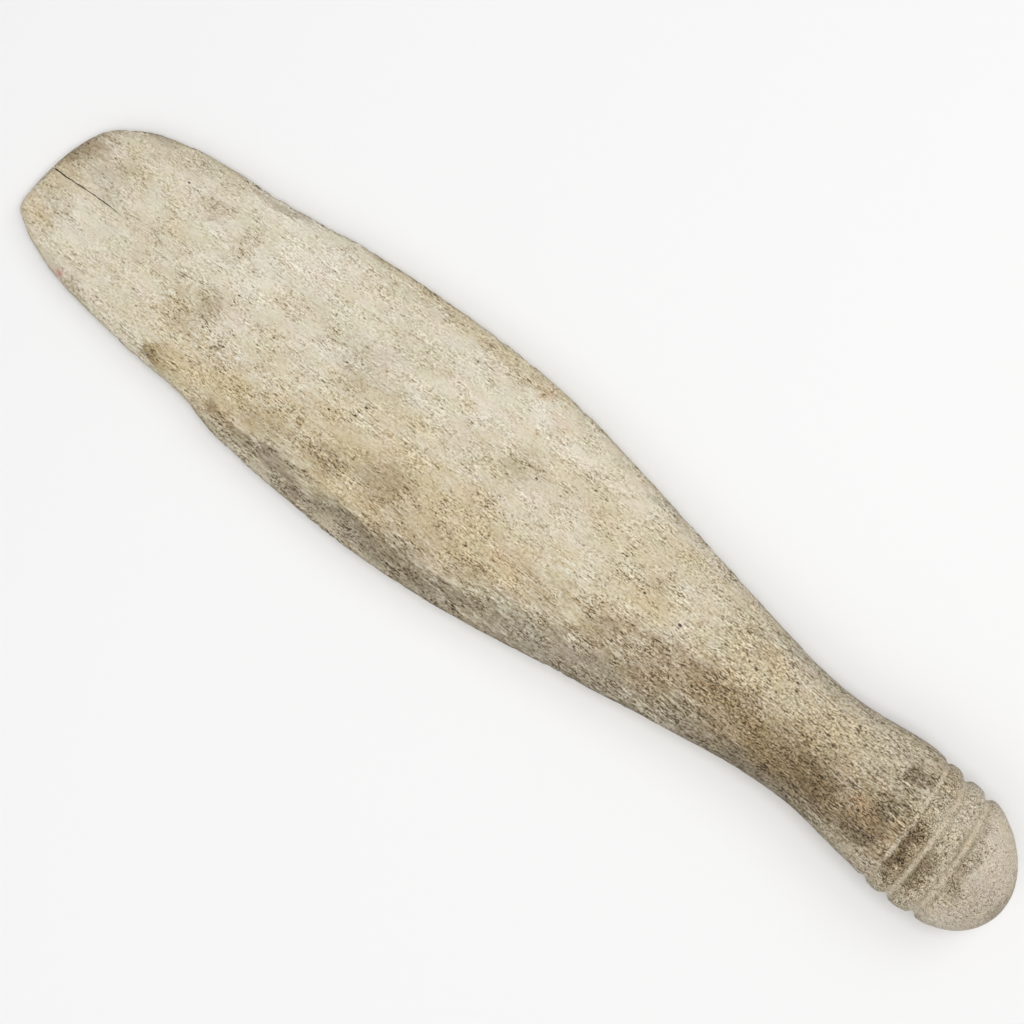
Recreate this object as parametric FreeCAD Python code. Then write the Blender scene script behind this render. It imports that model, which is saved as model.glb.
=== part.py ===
"""Hand club carved from one piece of whale bone.

The blade is a long flattened lens with a worn, rounded edge.  It narrows to an
oval neck, and the neck swells into a butt with three carved grooves and a domed
end.  A drying crack runs into the blade from its tip.

Frame: +X runs from the blade's tip to the butt, +Y across the blade and +Z up
from the table that the club lies on.  All lengths are millimetres.
"""
import FreeCAD, Part
import math
import os

# Overall size
LENGTH = 380.0
TIP_X = -LENGTH / 2
BUTT_X = LENGTH / 2

# Plan shape: half of the width along the club, before the ends are rounded off
HALF_WIDTH = (
    (TIP_X, 19.2),
    (-180.0, 22.3),
    (-170.0, 27.0),
    (-158.0, 30.1),
    (-145.0, 31.9),
    (-112.0, 35.1),
    (-94.0, 38.3),
    (-47.0, 40.8),
    (-10.0, 38.8),
    (35.0, 31.5),
    (90.0, 21.8),
    (116.0, 19.8),
    (141.0, 22.4),
    (156.0, 22.8),
    (168.0, 22.1),
    (BUTT_X, 20.0),
)

# Sideways place of the middle of the club's width
CENTRE_LINE = (
    (-160.0, 0.0),
    (-142.0, 0.1),
    (-128.0, -0.1),
    (-113.0, 0.4),
    (-88.0, 0.0),
    (0.0, 0.8),
    (130.0, 0.6),
    (142.0, 0.4),
    (151.0, -0.6),
    (159.0, -1.1),
    (170.0, -1.0),
    (BUTT_X, -2.4),
)

# The blade's end is cut askew, so its foremost point lies to one side
TIP_SKEW = 9.0
TIP_SKEW_REACH = 3.0
TIP_LEAN = 4.9
TIP_LEAN_REACH = 13.0

# Half of the thickness along the club, before the ends are rounded off
HALF_THICKNESS = (
    (TIP_X, 2.6),
    (-160.0, 4.0),
    (-120.0, 6.2),
    (-70.0, 8.2),
    (-20.0, 9.3),
    (30.0, 9.7),
    (95.0, 10.2),
    (120.0, 10.9),
    (144.0, 13.2),
    (168.0, 13.9),
    (BUTT_X, 13.2),
)

# Roundness of the cross-section: 1 is an ellipse, and more is a sharper lens
LENS_POWER = (
    (TIP_X, 1.20),
    (-60.0, 1.32),
    (60.0, 1.18),
    (130.0, 1.0),
    (BUTT_X, 1.0),
)

# The club lies on the swell of its blade and on its butt, so its middle plane
# climbs towards the butt
MIDDLE_HEIGHT = 9.45
MIDDLE_SLOPE = 0.025

# Length over which each end is rounded off, in plan and in thickness
TIP_ROUND = 12.0
TIP_EDGE_ROUND = 3.0
BUTT_ROUND = 22.0

# Carved grooves round the butt: place, width and depth
GROOVES = (
    (148.9, 3.6, 0.7),
    (157.0, 4.2, 1.2),
    (166.6, 4.2, 1.4),
)

# The grooves lean more and more towards the domed end
LEAN_START = 146.0
LEAN_END = 166.5
LEAN_ANGLE = math.radians(3.7)

# Worn hollow in one edge of the blade
HOLLOW_X = -118.0
HOLLOW_LENGTH = 30.0
HOLLOW_DEPTH = 0.5

# Drying crack at the tip
CRACK_MOUTH_Y = -2.1
CRACK_END = (-163.5, -1.2)
CRACK_MOUTH_WIDTH = 0.7

# Fineness of the modelled surface
SECTION_POINTS = 36
END_STEP = 0.05
END_STEPS = 12
BLADE_STEPS = 26
GROOVE_STEPS = 44


def smooth_through(points, x):
    """Value at x of a smooth curve through a few (x, value) points."""
    if x <= points[0][0]:
        return points[0][1]
    if x >= points[-1][0]:
        return points[-1][1]
    last = len(points) - 1
    i = max(k for k in range(last) if points[k][0] <= x)

    def slope(k):
        before = points[max(k - 1, 0)]
        after = points[min(k + 1, last)]
        return (after[1] - before[1]) / (after[0] - before[0])

    (x0, v0), (x1, v1) = points[i], points[i + 1]
    span = x1 - x0
    t = (x - x0) / span
    start = v0 * (1 + 2 * t) * (1 - t) ** 2 + span * slope(i) * t * (1 - t) ** 2
    end = v1 * (3 - 2 * t) * t ** 2 - span * slope(i + 1) * (1 - t) * t ** 2
    return start + end


def bump(x, centre, length):
    """A smooth hump, 1 at its centre and 0 from half its length away."""
    share = min(abs(x - centre) / (length / 2), 1.0)
    return math.cos(share * math.pi / 2) ** 2


def rounded_end(distance, reach):
    """Quarter-ellipse factor that brings a size to nothing at an end."""
    share = min(max(distance / reach, 0.0), 1.0)
    return math.sqrt(1.0 - (1.0 - share) ** 2)


def groove_depth(x):
    return sum(depth * bump(x, place, width) for place, width, depth in GROOVES)


def half_width(x):
    width = smooth_through(HALF_WIDTH, x)
    width *= rounded_end(x - TIP_X + END_STEP, TIP_ROUND)
    width *= rounded_end(BUTT_X - x + END_STEP, BUTT_ROUND)
    return width - groove_depth(x)


def half_thickness(x):
    thickness = smooth_through(HALF_THICKNESS, x)
    thickness *= rounded_end(x - TIP_X + END_STEP, TIP_EDGE_ROUND)
    thickness *= rounded_end(BUTT_X - x + END_STEP, BUTT_ROUND)
    return thickness - groove_depth(x)


def centre_y(x):
    from_tip = x - TIP_X
    skew = TIP_SKEW * math.exp(-from_tip / TIP_SKEW_REACH)
    lean = TIP_LEAN * math.exp(-from_tip / TIP_LEAN_REACH)
    return smooth_through(CENTRE_LINE, x) - skew - lean


def lean_slope(x):
    share = (x - LEAN_START) / (LEAN_END - LEAN_START)
    return math.tan(LEAN_ANGLE * min(max(share, 0.0), 1.0))


def section(x):
    """Closed smooth outline of the club cut across at x."""
    wide, thick = half_width(x), half_thickness(x)
    middle_y = centre_y(x)
    middle_z = MIDDLE_HEIGHT + MIDDLE_SLOPE * x
    power = smooth_through(LENS_POWER, x)
    hollow = HOLLOW_DEPTH * bump(x, HOLLOW_X, HOLLOW_LENGTH)
    points = []
    for k in range(SECTION_POINTS):
        # The outline starts underneath, where its join is out of sight
        angle = 2 * math.pi * k / SECTION_POINTS - math.pi / 2
        across, up = math.cos(angle), math.sin(angle)
        y = wide * across
        if across < 0:
            y += hollow * across ** 4
        z = thick * math.copysign(abs(up) ** power, up)
        points.append(FreeCAD.Vector(x - lean_slope(x) * y, middle_y + y, middle_z + z))
    curve = Part.BSplineCurve()
    curve.interpolate(points, PeriodicFlag=True, Parameters=list(range(SECTION_POINTS + 1)))
    return curve


def stations():
    """Places of the cross-sections, close together at the ends and grooves."""
    places = []
    for k in range(END_STEPS):
        share = 1 - math.cos(math.pi / 2 * k / END_STEPS)
        places += [TIP_X + TIP_ROUND * share, BUTT_X - BUTT_ROUND * share]
    groove_start = GROOVES[0][0] - 2.0
    groove_end = BUTT_X - BUTT_ROUND
    places += evenly(TIP_X + TIP_ROUND, groove_start, BLADE_STEPS)
    places += evenly(groove_start, groove_end, GROOVE_STEPS) + [groove_end]
    return sorted(places)


def evenly(start, end, steps):
    return [start + (end - start) * k / steps for k in range(steps)]


def skin(curves):
    """Closed solid with a smooth side that passes through the section curves."""
    rows = [curve.getPoles() for curve in curves]
    along = [0.0]
    for before, after in zip(rows, rows[1:]):
        gaps = [a.distanceToPoint(b) for a, b in zip(before, after)]
        along.append(along[-1] + sum(gaps) / len(gaps))
    lines = []
    for line_points in zip(*rows):
        line = Part.BSplineCurve()
        line.interpolate(list(line_points), Parameters=along)
        lines.append(line)
    side = Part.BSplineSurface()
    side.buildFromPolesMultsKnots(
        [line.getPoles() for line in lines],
        curves[0].getMultiplicities(), lines[0].getMultiplicities(),
        curves[0].getKnots(), lines[0].getKnots(),
        True, False, curves[0].Degree, lines[0].Degree,
    )
    ends = [Part.Face(Part.Wire(curve.toShape())) for curve in (curves[0], curves[-1])]
    faces = Part.Compound([side.toShape()] + ends)
    faces.sewShape()
    return Part.Solid(faces.Shells[0])


def crack():
    """Thin upright wedge that opens at the tip."""
    mouth_x = TIP_X - 2.0
    corners = [
        FreeCAD.Vector(mouth_x, CRACK_MOUTH_Y + CRACK_MOUTH_WIDTH / 2, -1.0),
        FreeCAD.Vector(mouth_x, CRACK_MOUTH_Y - CRACK_MOUTH_WIDTH / 2, -1.0),
        FreeCAD.Vector(CRACK_END[0], CRACK_END[1], -1.0),
    ]
    face = Part.Face(Part.makePolygon(corners + corners[:1]))
    return face.extrude(FreeCAD.Vector(0, 0, 2 * MIDDLE_HEIGHT))


def below_table():
    """Block under the table's plane: what it takes off leaves the resting flats."""
    size = 2 * LENGTH
    return Part.makeBox(size, size, size, FreeCAD.Vector(-size / 2, -size / 2, -size))


def bone_body():
    club = skin([section(x) for x in stations()])
    club = club.cut(below_table()).cut(crack()).Solids[0]
    box = club.optimalBoundingBox(False, False)
    club.translate(FreeCAD.Vector(-box.Center.x, -box.Center.y, 0))
    return club


os.makedirs("parts", exist_ok=True)
bone_body().exportStep("parts/bone_body.step")
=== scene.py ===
"""Looks of the carved whale-bone hand club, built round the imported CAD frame.

The body is one dense mesh with the CAD part's form, carved and worn relief and
an open drying crack.  Its bone is a node material laid out in the row frame.
Shape values are millimetres in the row frame, until fit_to_part() scales them.
"""

import math

import bpy
import numpy as np
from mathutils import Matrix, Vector, noise


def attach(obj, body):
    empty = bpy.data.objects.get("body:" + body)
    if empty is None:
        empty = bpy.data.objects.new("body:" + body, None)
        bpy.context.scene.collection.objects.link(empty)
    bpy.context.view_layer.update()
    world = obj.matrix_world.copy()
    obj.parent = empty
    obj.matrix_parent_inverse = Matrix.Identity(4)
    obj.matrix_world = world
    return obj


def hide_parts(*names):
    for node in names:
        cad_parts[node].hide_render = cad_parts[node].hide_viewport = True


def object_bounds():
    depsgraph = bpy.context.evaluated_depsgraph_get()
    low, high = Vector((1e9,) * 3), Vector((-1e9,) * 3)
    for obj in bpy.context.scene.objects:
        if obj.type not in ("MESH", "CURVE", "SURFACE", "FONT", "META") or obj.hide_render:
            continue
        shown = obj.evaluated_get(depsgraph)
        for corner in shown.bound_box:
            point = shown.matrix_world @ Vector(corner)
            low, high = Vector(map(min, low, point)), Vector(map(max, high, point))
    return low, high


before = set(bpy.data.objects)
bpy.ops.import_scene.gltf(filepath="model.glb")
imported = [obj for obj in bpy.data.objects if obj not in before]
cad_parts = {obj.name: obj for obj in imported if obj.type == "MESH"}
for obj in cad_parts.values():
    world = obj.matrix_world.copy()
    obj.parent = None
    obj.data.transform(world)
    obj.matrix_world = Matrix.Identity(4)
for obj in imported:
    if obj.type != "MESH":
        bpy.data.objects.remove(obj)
cad_low, cad_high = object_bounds()

MM = 0.001

# --------------------------------------------------------------------------
# Form of the club, as in the CAD part
# --------------------------------------------------------------------------
TIP_X, BUTT_X = -190.0, 190.0

HALF_WIDTH = (
    (TIP_X, 19.2),
    (-180.0, 22.3),
    (-170.0, 27.0),
    (-158.0, 30.1),
    (-145.0, 31.9),
    (-112.0, 35.1),
    (-94.0, 38.3),
    (-47.0, 40.8),
    (-10.0, 38.8),
    (35.0, 31.5),
    (90.0, 21.8),
    (116.0, 19.8),
    (141.0, 22.4),
    (156.0, 22.8),
    (168.0, 22.1),
    (BUTT_X, 20.0),
)
CENTRE_LINE = (
    (-160.0, 0.0),
    (-142.0, 0.1),
    (-128.0, -0.1),
    (-113.0, 0.4),
    (-88.0, 0.0),
    (0.0, 0.8),
    (130.0, 0.6),
    (142.0, 0.4),
    (151.0, -0.6),
    (159.0, -1.1),
    (170.0, -1.0),
    (BUTT_X, -2.4),
)
HALF_THICKNESS = (
    (TIP_X, 2.6),
    (-160.0, 4.0),
    (-120.0, 6.2),
    (-70.0, 8.2),
    (-20.0, 9.3),
    (30.0, 9.7),
    (95.0, 10.2),
    (120.0, 10.9),
    (144.0, 13.2),
    (168.0, 13.9),
    (BUTT_X, 13.2),
)
LENS_POWER = (
    (TIP_X, 1.20),
    (-60.0, 1.32),
    (60.0, 1.18),
    (130.0, 1.0),
    (BUTT_X, 1.0),
)
TIP_SKEW, TIP_SKEW_REACH = 9.0, 3.0
TIP_LEAN, TIP_LEAN_REACH = 4.9, 13.0
MIDDLE_HEIGHT, MIDDLE_SLOPE = 9.45, 0.025
TIP_ROUND, TIP_EDGE_ROUND, BUTT_ROUND = 12.0, 3.0, 22.0
LEAN_START, LEAN_END, LEAN_ANGLE = 146.0, 166.5, math.radians(3.7)
HOLLOW_X, HOLLOW_LENGTH, HOLLOW_DEPTH = -118.0, 30.0, 0.5

# Carved grooves: place, width, depth and how far they wander
GROOVES = (
    (148.9, 3.4, 0.80, 0.35),
    (157.0, 4.0, 1.25, 0.40),
    (166.6, 4.2, 1.45, 0.45),
)

# Beads beside the grooves: place, width and share of the full height
BEAD_HEIGHT = 0.35
BEADS = (
    (152.9, 6.0, 1.0),
    (161.7, 7.5, 1.0),
    (171.0, 8.0, 0.6),
)

# Planed bevels along the blade's upper face: side, start, end, inner height, slope
BEVELS = (
    (1, -94.0, -12.0, 0.30, 0.56),
    (-1, -98.0, 22.0, 0.15, 0.50),
)
BEVEL_FADE, BEVEL_BLEND = 16.0, 0.35

# Worn relief: height, size of its humps, seed and octaves
RELIEF = (
    (0.30, (42.0, 17.0, 17.0), 1, 2),
    (0.13, (15.0, 6.5, 6.5), 2, 3),
    (0.07, (5.0, 1.9, 1.9), 3, 3),
)

# Relief that is left at the very ends, and wear and nicks along the blade's edges
END_RELIEF = 0.35
WEAR_SIZE, WEAR_DEPTH = (9.0, 7.0, 7.0), 0.16
NICK_SIZE, NICK_DEPTH, NICK_SPARSENESS = (3.2, 3.0, 3.0), 0.75, 0.10

# The crack's line from its mouth to its end
CRACK_LINE = (
    (-192.0, -2.2),
    (-188.4, -2.15),
    (-187.0, -2.4),
    (-185.1, -2.2),
    (-183.3, -2.35),
    (-181.0, -1.95),
    (-179.2, -1.95),
    (-177.0, -1.5),
    (-174.6, -1.6),
    (-172.3, -1.25),
    (-169.6, -1.35),
    (-167.0, -1.1),
    (-163.4, -1.3),
)

# The crack's width and taper, the height of its floor, and the width of the break at its mouth
CRACK_WIDTH, CRACK_TAPER = 0.42, 0.8
CRACK_FLOOR = 3.3
CRACK_NOTCH = 1.5

# Heights that are clear of the blade's tip, below it and above it
BELOW_TIP, ABOVE_TIP = -2.0, 20.0

# Patches of dark scratch-like pits: centre and half size
SCUFFS = (
    ((-120.0, -5.5), (7.0, 4.5)), ((-110.0, -15.5), (2.5, 3.0)), ((-127.0, -30.0), (7.0, 3.5)),
    ((-140.0, 18.0), (7.0, 5.0)), ((-126.0, 14.0), (3.5, 8.0)), ((-117.0, 2.0), (3.0, 3.0)),
    ((-98.0, 1.0), (5.0, 2.0)), ((-90.0, 19.0), (5.0, 3.0)), ((-72.0, 3.0), (11.0, 5.0)),
    ((-69.0, -20.0), (7.0, 2.5)), ((-17.0, 15.5), (7.0, 4.0)), ((7.0, 21.0), (7.0, 4.5)),
    ((-13.0, 0.0), (11.0, 5.5)), ((-184.0, 9.0), (5.0, 9.0)), ((-170.0, -5.0), (10.0, 2.5)),
    ((-50.0, -15.0), (14.0, 6.0)),
)

# Mesh fineness, and how far its fine rows reach round the ends and grooves
AROUND, EDGE_CROWDING = 208, 0.2
TIP_ROWS, BLADE_ROWS, GROOVE_ROWS, DOME_ROWS = 30, 336, 54, 36
END_TURN, END_DEPTH = 0.02, 0.02
BEFORE_GROOVES, PAST_GROOVES = 3.4, 1.5


def smooth_through(points, x):
    """Values of a smooth curve through a few (x, value) points, for an array of x."""
    at, value = np.array(points, float).T
    slope = np.gradient(value, at)
    slope[1:-1] = (value[2:] - value[:-2]) / (at[2:] - at[:-2])
    x = np.clip(x, at[0], at[-1])
    i = np.clip(np.searchsorted(at, x, side="right") - 1, 0, len(at) - 2)
    span = at[i + 1] - at[i]
    t = (x - at[i]) / span
    start = value[i] * (1 + 2 * t) * (1 - t) ** 2 + span * slope[i] * t * (1 - t) ** 2
    end = value[i + 1] * (3 - 2 * t) * t ** 2 - span * slope[i + 1] * (1 - t) * t ** 2
    return start + end


def bump(x, centre, length):
    """A smooth hump, 1 at its centre and 0 from half its length away."""
    share = np.minimum(np.abs(x - centre) / (length / 2), 1.0)
    return np.cos(share * math.pi / 2) ** 2


def rounded_end(distance, reach):
    """Quarter-ellipse factor that brings a size to nothing at an end."""
    share = np.clip(distance / reach, 0.0, 1.0)
    return np.sqrt(1.0 - (1.0 - share) ** 2)


def smooth_step(x, low, high):
    """Smooth climb from 0 at low to 1 at high."""
    t = np.clip((x - low) / (high - low), 0.0, 1.0)
    return t * t * (3 - 2 * t)


def rough(points, size, seed, octaves=3):
    """Fractal noise, about -1 to 1, at points stretched by a size per axis."""
    shift = Vector((seed * 17.3, seed * 5.7, seed * 9.1))
    scaled = points / np.array(size)
    flat = scaled.reshape(-1, 3)
    values = [noise.fractal(Vector(p) + shift, 0.9, 2.1, octaves) for p in flat]
    return np.array(values).reshape(points.shape[:-1])


def row_places():
    """Places of the mesh rows along the club, closer at its ends and grooves."""
    turn = np.linspace(END_TURN, math.pi / 2, TIP_ROWS, endpoint=False)
    tip = TIP_X + TIP_ROUND * (1 - np.cos(turn))
    groove_start = GROOVES[0][0] - BEFORE_GROOVES
    dome_centre = BUTT_X - BUTT_ROUND
    dome_start = dome_centre + PAST_GROOVES
    blade = np.linspace(TIP_X + TIP_ROUND, groove_start, BLADE_ROWS, endpoint=False)
    grooves = np.linspace(groove_start, dome_start, GROOVE_ROWS, endpoint=False)
    turn = np.linspace(math.acos(PAST_GROOVES / BUTT_ROUND), END_TURN, DOME_ROWS)
    dome = dome_centre + BUTT_ROUND * np.cos(turn)
    return np.concatenate([tip, blade, grooves, dome])


def around_angles():
    """Angles round a section, from the +Y edge over the top; denser at the edges."""
    even = np.arange(AROUND) * 2 * math.pi / AROUND
    return even + EDGE_CROWDING * np.sin(2 * even)


def bevelled(height, x, inward, side_y):
    """Lowers the upper face to the planed bevels near the blade's edges."""
    for side, start, end, base, slope in BEVELS:
        on = smooth_step(x, start, start + BEVEL_FADE) * (1 - smooth_step(x, end - BEVEL_FADE, end))
        plane = base + slope * inward
        mixed = -BEVEL_BLEND * np.logaddexp(-height / BEVEL_BLEND, -plane / BEVEL_BLEND)
        lowered = height + on * (np.minimum(height, mixed) - height)
        height = np.where((side_y * side > 0) & (height > 0), lowered, height)
    return height


def base_form(x, angle):
    """Smooth form of the club as a grid of points, with a row for each place along it."""
    wide = smooth_through(HALF_WIDTH, x)
    wide *= rounded_end(x - TIP_X, TIP_ROUND) * rounded_end(BUTT_X - x, BUTT_ROUND)
    thick = smooth_through(HALF_THICKNESS, x)
    thick *= rounded_end(x - TIP_X, TIP_EDGE_ROUND) * rounded_end(BUTT_X - x, BUTT_ROUND)
    middle_y = smooth_through(CENTRE_LINE, x)
    middle_y -= TIP_SKEW * np.exp(-(x - TIP_X) / TIP_SKEW_REACH)
    middle_y -= TIP_LEAN * np.exp(-(x - TIP_X) / TIP_LEAN_REACH)
    lean = np.tan(LEAN_ANGLE * np.clip((x - LEAN_START) / (LEAN_END - LEAN_START), 0, 1))
    power = smooth_through(LENS_POWER, x)
    hollow = HOLLOW_DEPTH * bump(x, HOLLOW_X, HOLLOW_LENGTH)

    across, up = np.cos(angle)[None, :], np.sin(angle)[None, :]
    y = wide[:, None] * across
    y = y + np.where(across < 0, hollow[:, None] * across ** 4, 0.0)
    height = thick[:, None] * np.sign(up) * np.abs(up) ** power[:, None]
    inward = wide[:, None] * (1 - np.abs(across))
    height = bevelled(height, x[:, None], inward, y)
    grid = np.empty(y.shape + (3,))
    grid[..., 0] = x[:, None] - lean[:, None] * y
    grid[..., 1] = middle_y[:, None] + y
    grid[..., 2] = MIDDLE_HEIGHT + MIDDLE_SLOPE * x[:, None] + height
    return grid


def outward(grid):
    """Unit normals of a grid that closes on itself round the club."""
    along = np.gradient(grid, axis=0)
    round_it = np.roll(grid, -1, axis=1) - np.roll(grid, 1, axis=1)
    normal = np.cross(along, round_it)
    length = np.linalg.norm(normal, axis=-1, keepdims=True)
    return -normal / np.maximum(length, 1e-9)


def carve_grooves(grid, normal, x, angle):
    """Cuts the grooves, which wander and change depth as they go round, and raises the beads."""
    ring = np.stack([np.cos(angle), np.sin(angle), np.zeros_like(angle)], axis=-1)
    cut = np.zeros(grid.shape[:2])
    floor_share = np.zeros(grid.shape[:2])
    for k, (middle, width, depth, wander) in enumerate(GROOVES):
        drift = wander * rough(ring, (0.8, 0.8, 1), 11 + k, 3)
        deep = depth * (1 + 0.22 * rough(ring, (0.5, 0.5, 1), 21 + k, 3))
        broad = width * (1 + 0.18 * rough(ring, (0.7, 0.7, 1), 31 + k, 2))
        share = np.abs(x[:, None] - middle - drift[None, :]) / (broad[None, :] / 2)
        profile = np.cos(np.minimum(share, 1.0) * math.pi / 2) ** 1.3
        cut = np.maximum(cut, deep[None, :] * profile)
        floor_share = np.maximum(floor_share, profile)
    beads = sum(share * bump(x, middle, width) for middle, width, share in BEADS)
    carved = grid + normal * (BEAD_HEIGHT * beads[:, None] - cut)[..., None]
    return carved, floor_share, np.broadcast_to(beads[:, None], cut.shape)


def weathered(grid, normal, angle):
    """Adds carved unevenness, fibre relief, and wear and nicks along the blade's edges."""
    x = grid[..., 0]
    on_blade = 1 - smooth_step(x, 60.0, 120.0)
    edge = smooth_step(np.abs(np.cos(angle)), 0.93, 0.995)[None, :]
    relief = sum(height * rough(grid, size, seed, octaves) for height, size, seed, octaves in RELIEF)
    nicks = np.maximum(rough(grid, NICK_SIZE, 4, 3) - NICK_SPARSENESS, 0)
    wear = WEAR_DEPTH * rough(grid, WEAR_SIZE, 5, 3)
    past_tip = 0.4 + 0.6 * smooth_step(x, -170.0, -130.0)
    relief += edge * on_blade * past_tip * (wear - NICK_DEPTH * nicks)
    calm = smooth_step(x, TIP_X, TIP_X + 6) * (1 - smooth_step(x, BUTT_X - 10, BUTT_X))
    return grid + normal * (relief * (END_RELIEF + (1 - END_RELIEF) * calm))[..., None]


def scuffed(grid, angle):
    """How much each point of the upper face lies in one of the scuffed patches."""
    share = np.zeros(grid.shape[:2])
    for centre, size in SCUFFS:
        away = (grid[..., :2] - np.array(centre)) / np.array(size)
        share = np.maximum(share, 1 - smooth_step(np.linalg.norm(away, axis=-1), 0.3, 1.3))
    return share * (np.sin(angle) > 0)


def fit_to_part(points):
    """Fits the points to the CAD part's box in plan, rests them on z = 0, in metres."""
    low, high = np.array(cad_low) / MM, np.array(cad_high) / MM
    own_low, own_high = points.min(axis=0), points.max(axis=0)
    scale = (high - low)[:2] / (own_high - own_low)[:2]
    points[:, :2] = (points[:, :2] - own_low[:2]) * scale + low[:2]
    points[:, 2] = np.maximum(points[:, 2], 0.0)
    return points * MM


def club_mesh():
    """The club's closed mesh, with what the material needs at each point."""
    x, angle = row_places(), around_angles()
    grid = base_form(x, angle)
    grid, groove, bead = carve_grooves(grid, outward(grid), x, angle)
    grid = weathered(grid, outward(grid), angle)
    rows = len(x)
    ends = np.array([grid[0].mean(axis=0), grid[-1].mean(axis=0)])
    ends[0, 0] -= END_DEPTH
    ends[1, 0] += END_DEPTH
    points = fit_to_part(np.concatenate([grid.reshape(-1, 3), ends]))

    row, col = np.meshgrid(np.arange(rows - 1), np.arange(AROUND), indexing="ij")
    after = (col + 1) % AROUND
    corners = [row * AROUND + col, row * AROUND + after,
               (row + 1) * AROUND + after, (row + 1) * AROUND + col]
    faces = np.stack(corners, axis=-1).reshape(-1, 4)[:, ::-1].tolist()
    tip, butt = rows * AROUND, rows * AROUND + 1
    last = (rows - 1) * AROUND
    for k in range(AROUND):
        following = (k + 1) % AROUND
        faces.append((tip, k, following))
        faces.append((butt, last + following, last + k))
    mesh = bpy.data.meshes.new("carved_bone_body")
    mesh.from_pydata(points.tolist(), [], faces)
    under = 1 - smooth_step(np.sin(angle), -0.5, -0.1)
    values = {
        "groove": groove,
        "bead": bead,
        "scuffed": scuffed(grid, angle),
        "under": np.broadcast_to(under, groove.shape),
        "edge": np.broadcast_to(np.abs(np.cos(angle)), groove.shape),
    }
    for name, value in values.items():
        data = np.concatenate([value.ravel(), np.zeros(2)])
        mesh.attributes.new(name, "FLOAT", "POINT").data.foreach_set("value", data)
    mesh.update()
    return mesh


def add_object(name, mesh):
    made = bpy.data.objects.new(name, mesh)
    bpy.context.scene.collection.objects.link(made)
    return made


def upright_prism(name, outline, low, high):
    """Closed prism over an outline given in millimetres."""
    count = len(outline)
    points = [(px * MM, py * MM, z * MM) for z in (low, high) for px, py in outline]
    faces = [tuple(range(count)), tuple(range(2 * count - 1, count - 1, -1))]
    for k in range(count):
        following = (k + 1) % count
        faces.append((k, k + count, following + count, following))
    mesh = bpy.data.meshes.new(name)
    mesh.from_pydata(points, [], faces)
    mesh.update()
    return add_object(name, mesh)


def crack_outline():
    """Thin wavy blade along the crack's line, as wide as the crack is open."""
    line = np.array(CRACK_LINE)
    start, end = line[0, 0], line[-1, 0]
    outline = []
    for side in (1, -1):
        for px, py in line[::side]:
            half = 0.5 * CRACK_WIDTH * ((end - px) / (end - start)) ** CRACK_TAPER
            if side < 0 or px < end:
                outline.append((px, py + side * half))
    return outline


def notch_outline():
    """Small break where the crack leaves the tip."""
    mouth_x, mouth_y = CRACK_LINE[0]
    inner_x, inner_y = CRACK_LINE[1]
    half = CRACK_NOTCH / 2
    return [(mouth_x, mouth_y + half), (mouth_x, mouth_y - half), (inner_x, inner_y)]


def cut_out(body, cutter):
    """Cuts a closed shape out of the body, then deletes that shape."""
    cut = body.modifiers.new("cut", "BOOLEAN")
    cut.operation = "DIFFERENCE"
    cut.solver = "EXACT"
    cut.object = cutter
    bpy.context.view_layer.update()
    graph = bpy.context.evaluated_depsgraph_get()
    body_mesh = bpy.data.meshes.new_from_object(body.evaluated_get(graph))
    body.modifiers.clear()
    body.data = body_mesh
    bpy.data.objects.remove(cutter)


# --------------------------------------------------------------------------
# Node helpers
# --------------------------------------------------------------------------
def linear(red, green, blue):
    """Linear colour from the 0-255 values that a screen shows."""
    def one(value):
        value /= 255
        return value / 12.92 if value <= 0.04045 else ((value + 0.055) / 1.055) ** 2.4
    return (one(red), one(green), one(blue), 1.0)


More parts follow.
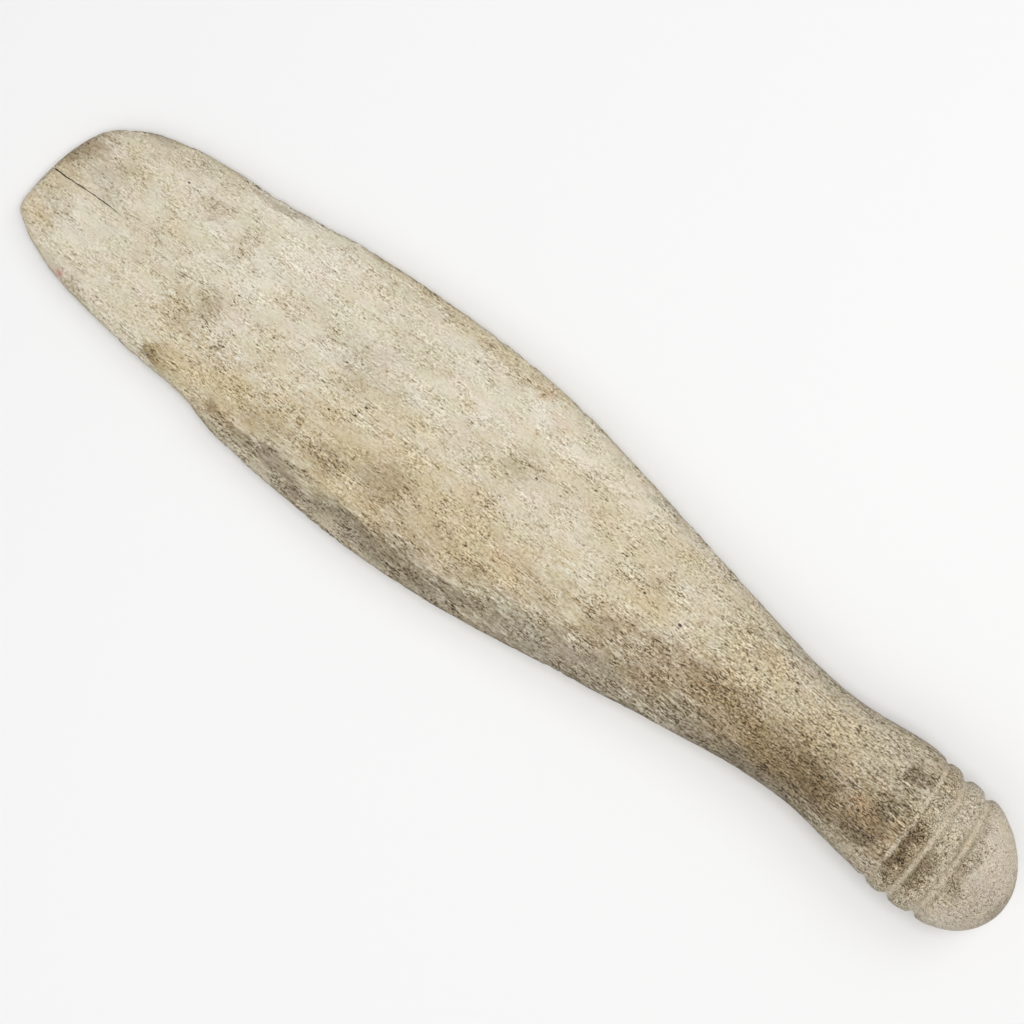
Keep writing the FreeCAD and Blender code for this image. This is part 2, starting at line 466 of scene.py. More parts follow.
class Nodes:
    """Short calls for building one node material."""

    def __init__(self, name):
        self.material = bpy.data.materials.new(name)
        self.material.use_nodes = True
        self.tree = self.material.node_tree
        self.tree.nodes.clear()

    def add(self, kind, inputs=None, **settings):
        made = self.tree.nodes.new("ShaderNode" + kind)
        for key, value in settings.items():
            setattr(made, key, value)
        for key, value in (inputs or {}).items():
            if isinstance(value, bpy.types.NodeSocket):
                self.tree.links.new(value, made.inputs[key])
            else:
                made.inputs[key].default_value = value
        return made

    def math(self, operation, first, second=0.0):
        return self.add("Math", {0: first, 1: second}, operation=operation).outputs[0]

    def vector(self, operation, first, second=(0.0, 0.0, 0.0)):
        made = self.add("VectorMath", {0: first, 1: second}, operation=operation)
        return made.outputs["Value" if operation == "LENGTH" else "Vector"]

    def span(self, value, low, high, out_low=0.0, out_high=1.0, kind="SMOOTHSTEP"):
        inputs = {"Value": value, "From Min": low, "From Max": high,
                  "To Min": out_low, "To Max": out_high}
        return self.add("MapRange", inputs, interpolation_type=kind).outputs["Result"]

    def mix(self, factor, first, second, blend="MIX"):
        made = self.add("Mix", data_type="RGBA", blend_type=blend)
        for socket, value in zip((0, 6, 7), (factor, first, second)):
            if isinstance(value, bpy.types.NodeSocket):
                self.tree.links.new(value, made.inputs[socket])
            else:
                made.inputs[socket].default_value = value
        return made.outputs[2]

    def noise(self, where, size, detail=3.0, roughness=0.55, colour=False):
        scaled = self.vector("DIVIDE", where, size)
        inputs = {"Vector": scaled, "Scale": 1.0, "Detail": detail, "Roughness": roughness}
        made = self.add("TexNoise", inputs, noise_dimensions="3D")
        return made.outputs["Color" if colour else "Fac"]

    def swing(self, noise_colour, reach):
        """Turns a noise's colour into a vector that swings both ways by a reach per axis."""
        return self.vector("MULTIPLY", self.vector("SUBTRACT", noise_colour, (0.5, 0.5, 0.5)), reach)

    def attribute(self, name):
        return self.add("Attribute", attribute_name=name).outputs["Fac"]

    def finished(self, surface):
        """The material, with a plain shader that has the given surface values."""
        shader = self.add("BsdfPrincipled", surface)
        output = self.add("OutputMaterial")
        self.tree.links.new(shader.outputs[0], output.inputs["Surface"])
        return self.material


# --------------------------------------------------------------------------
# Bone
# --------------------------------------------------------------------------
CREAM = linear(222, 215, 194)
PALE = linear(207, 197, 171)
TAN = linear(194, 176, 135)
ORANGE = linear(186, 152, 112)
BROWN = linear(143, 122, 86)
# GREY_STAIN_AND_SHADE and DARK_STAIN_AND_SHADE serve for stains and also for painted shade along the
# lower side and on the cap
DARK_STAIN_AND_SHADE = linear(104, 87, 60)
GREY_STAIN_AND_SHADE = linear(138, 127, 104)
HANDLED = linear(165, 153, 127)
CAP = linear(204, 193, 173)
SCRAPED = linear(200, 188, 164)
# The rim and outline colours are painted shade along the edges
RIM_SHADE = linear(112, 103, 86)
OUTLINE_SHADE = linear(98, 88, 72)
# Painted shade inside the crack, the hairline cracks and the pores
OPENING_SHADE = linear(52, 42, 32)

# Marks in the grain: size of the noise or cells behind each, the long way first
STREAK_SIZE = (4.8, 0.74, 0.74)
FINE_SIZE = (1.0, 0.45, 0.45)
DASH_SIZE = (3.0, 0.56, 0.56)
LARGE_PORE_SIZE = (2.0, 0.78, 0.78)
SMALL_PORE_SIZE = (1.0, 0.48, 0.48)
SCUFF_SIZE = (2.6, 0.60, 0.60)
GRIT_SIZE = (5.0, 1.1, 1.1)

# Where the grain starts to be seen end-on, how soon, and how much shorter its marks get
END_GRAIN_START, END_GRAIN_REACH, END_GRAIN_SHARE = 150.0, 8.0, 2.4

# How much each kind of mark darkens the bone, and how deep it lies in millimetres
STREAK_TONE, FINE_TONE, DASH_TONE = 0.8, 1.9, 0.40
LARGE_PORE_TONE, SMALL_PORE_TONE, SCUFF_TONE = 0.45, 0.35, 0.34
FIBRE_HEIGHT, LARGE_PORE_DEPTH, SMALL_PORE_DEPTH, MARK_DEPTH = 0.10, 0.16, 0.08, 0.3

# A small red spot: colour, centre, half size, turn and strength
RED_SPOT = (linear(176, 82, 84), (-166.5, -27.6), (1.8, 1.0), -15, 0.5)

# Stains on the face, and painted shade along the lower side and on the cap: colour, centre, half
# length and half width, turn, strength
STAINS_AND_SHADE = (
    # blade, from the tip
    (GREY_STAIN_AND_SHADE, (-188.0, 4.0), (6.0, 17.0), 0, 0.55),
    (BROWN, (-184.0, 8.0), (8.5, 11.0), 0, 0.60),
    (TAN, (-186.0, -17.0), (6.5, 8.0), 0, 0.50),
    (GREY_STAIN_AND_SHADE, (-158.0, 26.0), (30.0, 6.0), 8, 0.12),
    (GREY_STAIN_AND_SHADE, (-170.0, 5.0), (6.5, 9.0), 0, 0.28),
    (GREY_STAIN_AND_SHADE, (-169.5, 27.5), (8.0, 3.0), 18, 0.58),
    (GREY_STAIN_AND_SHADE, (-180.0, -11.0), (5.5, 6.5), 0, 0.20),
    (GREY_STAIN_AND_SHADE, (-123.0, 33.0), (15.0, 2.5), 6, 0.45),
    (BROWN, (-88.0, 38.8), (6.0, 2.6), 8, 0.45),
    (TAN, (-145.0, -22.0), (16.0, 6.0), 0, 0.35),
    (CREAM, (-136.0, -1.0), (14.0, 4.0), 0, 0.45),
    (CREAM, (-112.0, -7.5), (10.0, 5.0), 0, 0.50),
    (TAN, (-129.0, -15.0), (6.0, 5.5), 0, 0.55),
    (GREY_STAIN_AND_SHADE, (-162.0, -28.5), (14.0, 3.0), -8, 0.20),
    (TAN, (-182.0, -6.0), (8.0, 9.0), 0, 0.30),
    (BROWN, (-120.5, -7.0), (9.0, 5.0), -10, 0.40),
    (BROWN, (-125.0, -30.0), (8.8, 4.5), 0, 0.95),
    (DARK_STAIN_AND_SHADE, (-128.0, -30.5), (6.5, 3.0), 0, 0.40),
    (TAN, (-108.0, -25.0), (28.0, 10.5), 0, 0.72),
    (TAN, (-145.0, -10.0), (14.0, 8.0), 0, 0.30),
    (BROWN, (-125.0, -14.0), (10.0, 7.0), 0, 0.22),
    (BROWN, (-125.0, 15.0), (3.0, 8.0), 0, 0.18),
    (BROWN, (-139.0, 19.0), (6.0, 4.5), 0, 0.25),
    (DARK_STAIN_AND_SHADE, (-110.1, -15.8), (1.6, 3.0), 0, 0.40),
    (GREY_STAIN_AND_SHADE, (-72.0, 7.0), (15.0, 9.0), 0, 0.22),
    (BROWN, (-85.0, -25.0), (14.0, 6.0), 0, 0.35),
    (BROWN, (-98.0, -34.0), (9.0, 4.0), -10, 0.60),
    (DARK_STAIN_AND_SHADE, (-77.0, -33.5), (19.0, 3.5), 0, 0.45),
    # swell of the blade, and its edges down to the neck
    (TAN, (-48.0, 39.0), (40.0, 4.5), 0, 0.60),
    (CREAM, (-50.0, 29.5), (28.0, 5.0), 0, 0.42),
    (ORANGE, (-21.5, 37.0), (4.0, 4.0), 0, 0.45),
    (ORANGE, (-11.0, 30.0), (5.0, 3.5), 0, 0.30),
    (BROWN, (-13.0, 13.0), (8.0, 5.5), 20, 0.32),
    (TAN, (15.0, 18.0), (8.0, 5.0), 0, 0.35),
    (TAN, (14.0, 1.0), (7.0, 5.0), 0, 0.38),
    (GREY_STAIN_AND_SHADE, (31.0, 31.6), (11.0, 2.0), -10, 0.45),
    (TAN, (-35.0, -15.0), (75.0, 16.0), 0, 0.66),
    (TAN, (-56.0, 2.0), (10.0, 9.0), 0, 0.40),
    (BROWN, (-60.0, -21.5), (8.0, 5.0), 0, 0.32),
    (TAN, (-23.0, -2.0), (13.0, 7.0), 0, 0.45),
    (BROWN, (-43.0, -18.5), (12.0, 8.0), 0, 0.52),
    (BROWN, (-66.0, -23.5), (13.0, 4.5), 0, 0.42),
    (BROWN, (-30.0, -27.0), (16.0, 5.0), 0, 0.52),
    (BROWN, (-20.0, -20.0), (11.0, 5.0), 0, 0.24),
    (BROWN, (-9.0, -22.5), (5.0, 3.5), 0, 0.30),
    (ORANGE, (2.0, -13.0), (11.0, 5.0), 0, 0.25),
    (TAN, (-48.0, -28.5), (26.0, 6.0), 0, 0.60),
    # The GREY_STAIN_AND_SHADE and DARK_STAIN_AND_SHADE bands from here to x = 56, and the
    # DARK_STAIN_AND_SHADE band at x = -77, darken the lower (-Y) edge that slopes away from the light:
    # partly stain, partly painted shade
    (GREY_STAIN_AND_SHADE, (-40.0, -36.5), (64.0, 8.0), 0, 0.82),
    (DARK_STAIN_AND_SHADE, (-32.0, -33.5), (22.0, 3.5), 0, 0.34),
    (PALE, (-49.0, -40.8), (40.0, 3.0), 0, 0.50),
    (DARK_STAIN_AND_SHADE, (-6.0, -31.0), (18.0, 4.5), 6, 0.52),
    (GREY_STAIN_AND_SHADE, (34.0, -32.2), (44.0, 3.8), 10, 0.92),
    (DARK_STAIN_AND_SHADE, (56.0, -27.2), (11.0, 2.4), 10, 0.62),
    (GREY_STAIN_AND_SHADE, (2.0, -37.0), (6.0, 2.2), 8, 0.60),
    # middle of the face from the swell through the neck, and the neck's edges
    (TAN, (33.0, 0.0), (13.0, 9.0), 0, 0.45),
    (TAN, (45.0, 6.0), (9.0, 7.0), 0, 0.45),
    (TAN, (64.0, 3.0), (7.0, 5.0), 0, 0.40),
    (BROWN, (44.0, 10.5), (5.0, 3.5), 0, 0.28),
    (TAN, (22.0, 20.0), (60.0, 8.0), 0, 0.35),
    (BROWN, (80.0, -2.5), (16.0, 6.0), 0, 0.52),
    (BROWN, (99.0, 0.0), (9.0, 3.5), 0, 0.32),
    (BROWN, (79.0, -1.5), (6.0, 4.0), 0, 0.35),
    (BROWN, (86.0, 11.0), (7.0, 6.0), 0, 0.24),
    (GREY_STAIN_AND_SHADE, (92.0, -7.0), (9.0, 4.5), 0, 0.55),
    (BROWN, (50.0, -18.0), (20.0, 6.0), 8, 0.55),
    (BROWN, (57.0, -15.0), (11.0, 5.5), 0, 0.45),
    (BROWN, (38.0, -15.0), (7.0, 4.0), 0, 0.35),
    (BROWN, (75.0, 15.0), (11.0, 5.0), 0, 0.28),
    (BROWN, (-4.0, -22.0), (10.0, 4.5), 0, 0.35),
    (BROWN, (38.0, -10.0), (11.0, 6.0), 0, 0.55),
    (GREY_STAIN_AND_SHADE, (30.0, -26.0), (40.0, 9.0), 8, 0.75),
    (BROWN, (62.0, -9.0), (24.0, 9.0), 0, 0.60),
    (BROWN, (100.0, -10.0), (36.0, 12.5), 0, 0.85),
    (DARK_STAIN_AND_SHADE, (110.0, -10.0), (19.0, 6.0), 0, 0.32),
    (BROWN, (106.0, 1.5), (7.0, 4.0), 0, 0.35),
    (BROWN, (110.0, 8.0), (6.0, 4.5), 0, 0.30),
    (DARK_STAIN_AND_SHADE, (118.0, -9.5), (9.0, 6.5), 0, 0.62),
    # The GREY_STAIN_AND_SHADE and DARK_STAIN_AND_SHADE bands here, and those at x = 30 and x = 127
    # near y = -15 to -26, darken the lower (-Y) side of the swell and neck: partly stain, partly
    # painted shade on the side turned from the light
    (GREY_STAIN_AND_SHADE, (98.0, -18.0), (40.0, 6.0), 0, 0.80),
    (DARK_STAIN_AND_SHADE, (107.0, -15.0), (26.0, 4.5), 0, 0.45),
    (GREY_STAIN_AND_SHADE, (94.0, 19.5), (34.0, 3.5), 0, 0.20),
    (GREY_STAIN_AND_SHADE, (88.0, -20.5), (34.0, 5.5), 0, 0.75),
    (BROWN, (18.0, -15.0), (14.0, 8.0), 0, 0.28),
    (GREY_STAIN_AND_SHADE, (94.0, -19.5), (32.0, 4.0), 0, 0.40),
    (DARK_STAIN_AND_SHADE, (96.0, -20.0), (12.0, 2.2), 0, 0.32),
    (BROWN, (115.0, 1.0), (16.0, 6.0), 0, 0.40),
    (TAN, (92.0, 8.0), (42.0, 9.0), 0, 0.45),
    # butt, with its grooves and cap
    (BROWN, (138.0, -7.0), (16.0, 16.0), 0, 0.50),
    (DARK_STAIN_AND_SHADE, (136.0, -12.5), (11.0, 5.0), 0, 0.60),
    (DARK_STAIN_AND_SHADE, (141.2, -4.5), (5.8, 10.5), 0, 0.66),
    (DARK_STAIN_AND_SHADE, (140.5, 12.5), (5.5, 5.0), 0, 0.78),
    (GREY_STAIN_AND_SHADE, (127.0, -18.5), (8.0, 4.0), 0, 0.26),
    (BROWN, (137.5, -8.0), (5.5, 4.5), 0, 0.62),
    (BROWN, (147.0, -15.5), (4.0, 4.0), 0, 0.45),
    (BROWN, (134.0, -3.5), (5.0, 5.5), 0, 0.55),
    (ORANGE, (132.0, -5.0), (4.5, 3.5), 0, 0.32),
    (ORANGE, (147.0, -7.0), (3.5, 5.0), 0, 0.28),
    (BROWN, (156.0, -11.0), (9.0, 12.0), 0, 0.56),
    (BROWN, (149.0, 18.0), (7.0, 4.5), 0, 0.50),
    (BROWN, (151.8, 3.0), (3.2, 12.0), 0, 0.40),
    (PALE, (158.3, 0.5), (2.6, 6.5), 0, 0.48),
    (DARK_STAIN_AND_SHADE, (171.0, -6.0), (2.2, 11.0), 0, 0.40),
    (DARK_STAIN_AND_SHADE, (169.5, 11.0), (2.0, 3.5), 0, 0.35),
    (DARK_STAIN_AND_SHADE, (152.3, -3.0), (3.5, 5.0), 0, 0.80),
    (DARK_STAIN_AND_SHADE, (153.0, -12.5), (3.8, 8.5), 0, 0.90),
    (DARK_STAIN_AND_SHADE, (160.0, -8.5), (2.8, 8.0), 0, 0.52),
    (GREY_STAIN_AND_SHADE, (166.8, 3.0), (3.2, 7.0), 0, 0.50),
    (BROWN, (168.8, -7.5), (3.8, 10.0), 0, 0.42),
    (CAP, (173.5, 4.5), (3.2, 5.5), 0, 0.60),
    # Painted shade on the cap: darker on its lower (-Y) side and round its end, where the dome falls
    # away from the light
    (GREY_STAIN_AND_SHADE, (182.0, -8.0), (12.0, 15.0), 0, 0.26),
    (GREY_STAIN_AND_SHADE, (189.0, -4.0), (4.0, 16.0), 0, 0.50),
)

# Hairline cracks: start, end, half width, darkness and heights along the way
HAIRLINES = (
    # The first line follows the cut crack; its darkness is painted shade inside the crack
    (-190.0, -160.0, 0.21, 0.92, (-2.15, -2.3, -1.95, -1.5, -1.25, -1.3)),
    (-162.5, -137.0, 0.15, 0.45, (-0.8, 0.9, 1.2, 0.0, -0.9, -1.7)),
    (-138.0, -119.0, 0.15, 0.50, (-4.2, -3.9, -3.2, -2.5, -1.6, -1.4)),
    (-178.0, -149.0, 0.13, 0.20, (-9.6, -7.6, -6.3, -6.3, -6.7, -5.7)),
)

# Deep open pores: place and half size
# Each pore is painted dark, as shade inside it
PORES = (
    (40.7, 5.4, 0.50), (55.4, 4.2, 0.60), (96.6, 10.1, 0.50), (82.5, 7.9, 0.55), (79.4, 8.4, 0.35),
    (85.6, 8.0, 0.35), (88.0, 7.5, 0.35), (102.6, 1.6, 0.35), (106.3, 0.4, 0.30),
    (-7.5, 13.0, 0.40), (-63.0, -2.0, 0.50), (-72.0, -9.5, 0.40), (104.5, 2.0, 0.35),
    (109.2, 0.9, 0.30), (113.5, 1.6, 0.30), (-151.0, 20.0, 0.40),
)


def patch_mask(n, where, centre, size, turn, grit=0.0):
    """Ellipse on the face, 1 in its middle, whose rim breaks up into fibres."""
    away = n.vector("SUBTRACT", where, (centre[0], centre[1], 0.0))
    if turn:
        inputs = {"Vector": away, "Angle": math.radians(-turn)}
        away = n.add("VectorRotate", inputs, rotation_type="Z_AXIS").outputs["Vector"]
    scaled = n.vector("MULTIPLY", away, (1 / size[0], 1 / size[1], 0.0))
    reach = n.math("ADD", n.vector("LENGTH", scaled), grit)
    return n.span(reach, 1.25, 0.30)


def drawn_curve(n, along, heights):
    """Curve through evenly spaced heights as along goes from 0 to 1."""
    curve = n.add("FloatCurve", {"Value": along})
    points = curve.mapping.curves[0].points
    low, high = min(heights) - 1, max(heights) + 1
    last = len(heights) - 1
    for k, height in enumerate(heights):
        spot = (k / last, (height - low) / (high - low))
        if 0 < k < last:
            points.new(*spot)
        else:
            points[-1 if k else 0].location = spot
    curve.mapping.update()
    return n.span(curve.outputs[0], 0, 1, low, high, kind="LINEAR")


def hairline_mask(n, here, start, end, half, heights):
    """Thin broken line along the club whose sideways place follows a drawn curve."""
    split = n.add("SeparateXYZ", {0: here})
    along = n.span(split.outputs[0], start, end, kind="LINEAR")
    line = drawn_curve(n, along, heights)
    wobble = n.math("MULTIPLY", n.math("SUBTRACT", n.noise(here, (3.0, 50, 50)), 0.5), 0.7)
    line = n.math("ADD", line, wobble)
    away = n.math("ABSOLUTE", n.math("SUBTRACT", split.outputs[1], line))
    mask = n.span(away, half, half * 0.4)
    mask = n.math("MULTIPLY", mask, n.span(n.noise(here, (5.0, 9.0, 9.0)), 0.38, 0.56, 0.15, 1.0))
    mask = n.math("MULTIPLY", mask, n.span(split.outputs[0], start - 0.5, start + 0.5))
    return n.math("MULTIPLY", mask, n.span(split.outputs[0], end + 1, end - 5))


def pore_layer(n, here, size, low, high):
    """Short dark dashes along the grain, each with its own size."""
    scaled = n.vector("DIVIDE", here, size)
    cells = n.add("TexVoronoi", {"Vector": scaled, "Scale": 1.0}, feature="F1")
    chance = n.add("SeparateColor", {0: cells.outputs["Color"]}).outputs[0]
    reach = n.span(chance, 0.0, 1.0, low, high, kind="LINEAR")
    return n.span(cells.outputs["Distance"], reach, 0.0)


def scuffs(n, here, grit):
    """Curved dark pits that lie in a few loose patches on the blade."""
    swirl = n.swing(n.noise(here, (13.0, 13.0, 13.0), 1.0, 0.5, colour=True), (0.0, 14.0, 0.0))
    pits = n.span(n.noise(n.vector("ADD", here, swirl), SCUFF_SIZE, 2.0, 0.6), 0.46, 0.33)
    patches = n.math("ADD", n.attribute("scuffed"), n.math("MULTIPLY", grit, 0.5))
    return n.math("MULTIPLY", pits, n.span(patches, 0.2, 0.8))


def fibre_place(n, here):
    """Place in the grain, which bends a little and is seen end-on, as dots, on the cap."""
    along = n.add("SeparateXYZ", {0: here}).outputs[0]
    past = n.math("MAXIMUM", n.math("SUBTRACT", along, END_GRAIN_START), 0.0)
    shorter = n.math("DIVIDE", n.math("MULTIPLY", past, past), n.math("ADD", past, END_GRAIN_REACH))
    shorter = n.math("MULTIPLY", shorter, END_GRAIN_SHARE)
    shorter = n.add("CombineXYZ", {0: shorter, 1: 0.0, 2: 0.0}).outputs[0]
    bend = n.swing(n.noise(here, (18.0, 8.0, 8.0), 2.0, 0.5, colour=True), (0.6, 0.9, 0.6))
    return n.vector("ADD", n.vector("ADD", here, shorter), bend)


def clouded(n, cloud, turned, place_x):
    """Pale bone with cream and tan clouds, greyer on the handled neck and plain on the cap."""
    colour = n.mix(n.span(cloud, 0.36, 0.70), PALE, CREAM)
    tan_cloud = n.noise(turned, (22.0, 12.0, 12.0), 4.0, 0.6)
    colour = n.mix(n.span(tan_cloud, 0.50, 0.80, 0, 0.5), colour, TAN)
    colour = n.mix(n.span(place_x, 30.0, 125.0, 0.0, 0.64), colour, HANDLED)
    return n.mix(n.span(place_x, 158.0, 176.0, 0.0, 0.85), colour, CAP)


def stained_and_shaded(n, colour, where, grit):
    """Every entry of the table, stains and painted shade, laid over the colour in turn."""
    for patch_colour, centre, size, turn, strength in STAINS_AND_SHADE:
        mask = patch_mask(n, where, centre, size, turn, grit)
        colour = n.mix(n.math("MULTIPLY", mask, strength), colour, patch_colour)
    return colour


def edge_shaded(n, colour, place_x, grit):
    """A painted shade rim where the faces turn away from the light, strongest on the neck, and a thin
    dark painted outline of shade at the very edge.
    """
    # rim and outline below are painted shade where the section turns down to its sides
    rim = n.span(n.math("ADD", n.attribute("edge"), n.math("MULTIPLY", grit, 0.05)), 0.80, 0.99)
    rim = n.math("MULTIPLY", rim, n.span(place_x, -20.0, 90.0, 0.08, 0.22))
    rim = n.math("MULTIPLY", rim, n.span(place_x, 140.0, 155.0, 1.0, 0.55))
    colour = n.mix(rim, colour, RIM_SHADE)
    outline = n.span(n.math("ADD", n.attribute("edge"), n.math("MULTIPLY", grit, 0.02)), 0.970, 0.999)
    return n.mix(n.math("MULTIPLY", outline, 0.35), colour, OUTLINE_SHADE)


def scraped(n, colour, groove, breaks, grit):
    """Paler bone on the floors of the grooves, here and there."""
    floor_share = n.math("ADD", groove, n.math("MULTIPLY", grit, 0.35))
    share = n.math("MULTIPLY", n.span(floor_share, 0.35, 1.0), n.span(breaks, 0.35, 0.6, 0.35, 0.85))
    return n.mix(share, colour, SCRAPED)


def mottled(n, colour, spread):
    """Slight unevenness of hue."""
    mottle = n.swing(n.noise(spread, (11.0, 6.0, 6.0), 3.0, 0.6, colour=True), (0.13, 0.06, 0.21))
    return n.mix(1.0, colour, n.vector("ADD", mottle, (1.0, 1.0, 1.0)), "MULTIPLY")


def openness(n, spread, place_x, groove):
    """How open the grain is: tight at the tip, in the grooves and on the cap, open on the neck."""
    patches = n.span(n.noise(spread, (9.0, 5.0, 5.0), 4.0, 0.65), 0.36, 0.64)
    patches = n.math("ADD", n.math("MULTIPLY", patches, n.span(place_x, 30.0, 110.0, 1.25, 0.6)), 0.45)
    share = n.math("ADD", patches, n.span(place_x, 30.0, 110.0, 0.0, 0.3))
    neck = n.span(place_x, 10.0, 90.0, 1.05, 1.50)
    neck = n.math("MULTIPLY", neck, n.span(place_x, 160.0, 176.0, 1.0, 0.78))
    share = n.math("MULTIPLY", share, neck)
    share = n.math("MULTIPLY", share, n.span(place_x, -175.0, -120.0, 0.80, 1.0))
    return n.math("MULTIPLY", share, n.span(groove, 0.45, 0.85, 1.0, 0.80))


def grain_tone(n, streaks, fine, dark_grain, strength):
    """How much lighter or darker the grain makes the bone, stronger on the beads."""
    tone = n.math("MULTIPLY", n.math("SUBTRACT", streaks, 0.5), STREAK_TONE)
    bead = n.attribute("bead")
    lighter = n.math("SUBTRACT", fine, 0.5)
    lightest = n.math("ADD", 0.10, n.math("MULTIPLY", bead, 0.10))
    lighter = n.math("MINIMUM", lighter, lightest)
    tone = n.math("ADD", tone, n.math("MULTIPLY", lighter, FINE_TONE))
    for mark, darkness in dark_grain:
        tone = n.math("SUBTRACT", tone, n.math("MULTIPLY", mark, darkness))
    on_beads = n.math("ADD", 1.0, n.math("MULTIPLY", bead, 0.25))
    return n.math("MULTIPLY", tone, n.math("MULTIPLY", strength, on_beads))


def toned(n, colour, tone):
    """Bone made lighter or darker, with marks that are warmer than the bone round them."""
    shade = n.math("MAXIMUM", n.math("ADD", tone, 1.10), 0.16)
    warm = n.span(shade, 0.2, 1.2, 1.18, 0.98, kind="LINEAR")
    dull = n.span(shade, 0.2, 1.2, 0.76, 1.07, kind="LINEAR")
    tint = {0: n.math("MULTIPLY", shade, warm), 1: shade, 2: n.math("MULTIPLY", shade, dull)}
    return n.mix(1.0, colour, n.add("CombineColor", tint).outputs[0], "MULTIPLY")


def shaded_openings(n, here, under):
    """Painted shade inside the cut crack, the hairline cracks and the pores, on the upper face."""
    marks = None
    for start, end, half, dark, heights in HAIRLINES:
        mask = n.math("MULTIPLY", hairline_mask(n, here, start, end, half, heights), dark)
        marks = mask if marks is None else n.math("MAXIMUM", marks, mask)
    for x, y, size in PORES:
        away = n.vector("MULTIPLY", n.vector("SUBTRACT", here, (x, y, 0.0)), (0.6, 1.0, 0.0))
        mask = n.span(n.vector("LENGTH", away), size, size * 0.4, 0.0, 0.90)
        marks = n.math("MAXIMUM", marks, mask)
    return n.math("MULTIPLY", marks, n.math("SUBTRACT", 1.0, under))


def bone():
    n = Nodes("weathered_bone")
    texture = n.add("TexCoord")
    here = n.vector("MULTIPLY", texture.outputs["Object"], (1 / MM, 1 / MM, 1 / MM))
    under = n.attribute("under")
    groove = n.attribute("groove")

    # The face below has the same kinds of stains and painted shade, laid out differently
    turned = n.vector("ADD", n.vector("MULTIPLY", here, (1.0, -0.9, 1.0)), (-24.0, 2.0, 40.0))
    spread = n.add("Mix", {0: under, 4: here, 5: turned}, data_type="VECTOR").outputs[1]
    ragged = n.noise(spread, (16.0, 9.0, 9.0), 4.0, 0.6, colour=True)
    breaks = n.add("SeparateColor", {0: ragged}).outputs[2]
    where = n.vector("ADD", spread, n.swing(ragged, (22.0, 14.0, 0.0)))
    place_x = n.add("SeparateXYZ", {0: where}).outputs[0]

    # Fibres and pores along the grain
    grain = fibre_place(n, here)
    streaks = n.noise(grain, STREAK_SIZE, 3.0, 0.6)
    fine = n.noise(grain, FINE_SIZE, 2.0, 0.6)
    dashes = n.span(n.noise(grain, DASH_SIZE, 2.0, 0.55), 0.43, 0.30)
    large_pores = pore_layer(n, grain, LARGE_PORE_SIZE, 0.06, 0.42)
    small_pores = pore_layer(n, grain, SMALL_PORE_SIZE, 0.10, 0.50)

    # Broad colour, stains, and painted shade along the edges, the lower side and the cap
    cloud = n.noise(spread, (30.0, 16.0, 16.0), 4.0, 0.6)
    colour = clouded(n, cloud, turned, place_x)
    grit = n.math("SUBTRACT", n.noise(grain, GRIT_SIZE, 4.0, 0.7), 0.5)
    grit = n.math("MULTIPLY", grit, 2.2)
    colour = stained_and_shaded(n, colour, where, grit)
    colour = edge_shaded(n, colour, place_x, grit)
    colour = scraped(n, colour, groove, breaks, grit)
    colour = mottled(n, colour, spread)

    # The grain shows more where the bone is open or darker
    open_share = openness(n, spread, place_x, groove)
    brightness = n.add("RGBToBW", {0: colour}).outputs[0]
    strength = n.span(brightness, 0.18, 0.62, 1.9, 0.72, kind="LINEAR")
    strength = n.math("MULTIPLY", strength, open_share)
    dark_grain = (dashes, DASH_TONE), (large_pores, LARGE_PORE_TONE), (small_pores, SMALL_PORE_TONE)
    tone = grain_tone(n, streaks, fine, dark_grain, strength)
    tone = n.math("SUBTRACT", tone, n.math("MULTIPLY", scuffs(n, here, grit), SCUFF_TONE))
    colour = toned(n, colour, tone)

    # Single marks: painted shade in the crack, hairline cracks and pores, and a red spot
    marks = shaded_openings(n, here, under)
    colour = n.mix(marks, colour, OPENING_SHADE)
    red, centre, size, turn, red_strength = RED_SPOT
    spot = patch_mask(n, here, centre, size, turn)
    colour = n.mix(n.math("MULTIPLY", spot, red_strength), colour, red)

    # Fine relief, which leaves the stains out
    height = n.math("MULTIPLY", n.math("ADD", streaks, fine), FIBRE_HEIGHT)
    height = n.math("SUBTRACT", height, n.math("MULTIPLY", large_pores, LARGE_PORE_DEPTH))
    height = n.math("SUBTRACT", height, n.math("MULTIPLY", small_pores, SMALL_PORE_DEPTH))
    height = n.math("MULTIPLY", height, open_share)
    height = n.math("SUBTRACT", height, n.math("MULTIPLY", marks, MARK_DEPTH))
    relief = n.add("Bump", {"Height": height, "Strength": 0.8, "Distance": MM}).outputs["Normal"]
    worn = n.span(cloud, 0.3, 0.7, 0.74, 0.58)
    return n.finished({
        "Base Color": colour, "Roughness": worn, "Normal": relief, "Specular IOR Level": 0.35,
    })


def pale_floor():
    n = Nodes("pale_floor")
    return n.finished({
        "Base Color": FLOOR_COLOUR, "Roughness": 0.9, "Specular IOR Level": 0.1,
    })


# --------------------------------------------------------------------------
# The piece
# --------------------------------------------------------------------------
SHARP_ANGLE = math.radians(55)

body = add_object("carved_bone_body", club_mesh())
cut_out(body, upright_prism("crack_cutter", crack_outline(), CRACK_FLOOR, ABOVE_TIP))
cut_out(body, upright_prism("notch_cutter", notch_outline(), BELOW_TIP, ABOVE_TIP))
body.data.materials.clear()
body.data.materials.append(bone())
body.data.shade_smooth()
body.data.set_sharp_from_angle(angle=SHARP_ANGLE)
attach(body, "root")
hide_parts("bone_body")

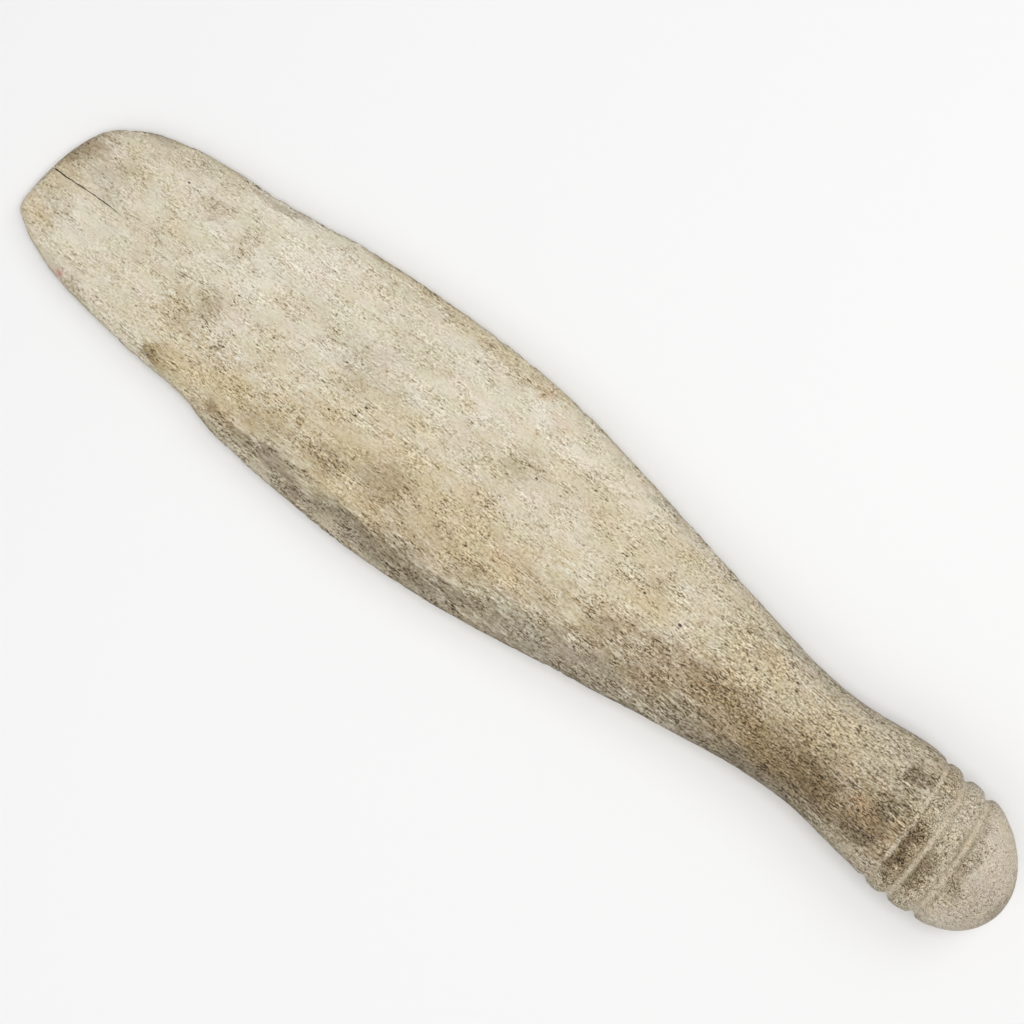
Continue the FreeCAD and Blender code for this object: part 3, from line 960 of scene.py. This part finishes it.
# --------------------------------------------------------------------------
# Floor, light and camera, in metres
# --------------------------------------------------------------------------
FLOOR_HALF = 3.0
FLOOR_COLOUR = (0.965, 0.965, 0.968, 1.0)
SKY_COLOUR = (0.97, 0.98, 1.0, 1.0)
SKY_STRENGTH = 0.365

# Square lights that point at the middle of the club: name, place, size, power, colour
LIGHTS = (
    ("overhead", (0.17, 0.05, 1.6), 1.0, 12.8, (1.0, 0.99, 0.97)),
    ("upper_side", (0.30, 0.80, 0.90), 0.7, 2.4, (1.0, 0.99, 0.98)),
    ("lower_side", (-0.10, -0.80, 0.90), 0.7, 1.7, (1.0, 0.99, 0.98)),
)

# The camera looks straight down, turned so that the club lies across the picture
CAMERA_PLACE = (-0.0072, 0.0001, 0.770)
CAMERA_TURN = math.radians(37.70)
LENS, SENSOR_WIDTH = 85.0, 36.0

corners = [(-FLOOR_HALF, -FLOOR_HALF, 0), (FLOOR_HALF, -FLOOR_HALF, 0),
           (FLOOR_HALF, FLOOR_HALF, 0), (-FLOOR_HALF, FLOOR_HALF, 0)]
floor_mesh = bpy.data.meshes.new("floor")
floor_mesh.from_pydata(corners, [], [(0, 1, 2, 3)])
floor = add_object("floor", floor_mesh)
floor.location.z = cad_low.z
floor.data.materials.append(pale_floor())

world = bpy.data.worlds.new("studio")
world.use_nodes = True
background = world.node_tree.nodes["Background"]
background.inputs["Color"].default_value = SKY_COLOUR
background.inputs["Strength"].default_value = SKY_STRENGTH
bpy.context.scene.world = world


def soft_light(name, position, size, power, colour):
    data = bpy.data.lights.new(name, "AREA")
    data.shape = "SQUARE"
    data.size = size
    data.energy = power
    data.color = colour
    lamp = bpy.data.objects.new(name, data)
    lamp.location = position
    lamp.rotation_euler = (-Vector(position)).to_track_quat("-Z", "Y").to_euler()
    bpy.context.scene.collection.objects.link(lamp)


for light in LIGHTS:
    soft_light(*light)

camera_data = bpy.data.cameras.new("overhead")
camera_data.lens = LENS
camera_data.sensor_width = SENSOR_WIDTH
camera = bpy.data.objects.new("overhead", camera_data)
camera.location = CAMERA_PLACE
camera.rotation_euler = (0, 0, CAMERA_TURN)
bpy.context.scene.collection.objects.link(camera)
bpy.context.scene.camera = camera
bpy.context.scene.view_settings.view_transform = "Standard"
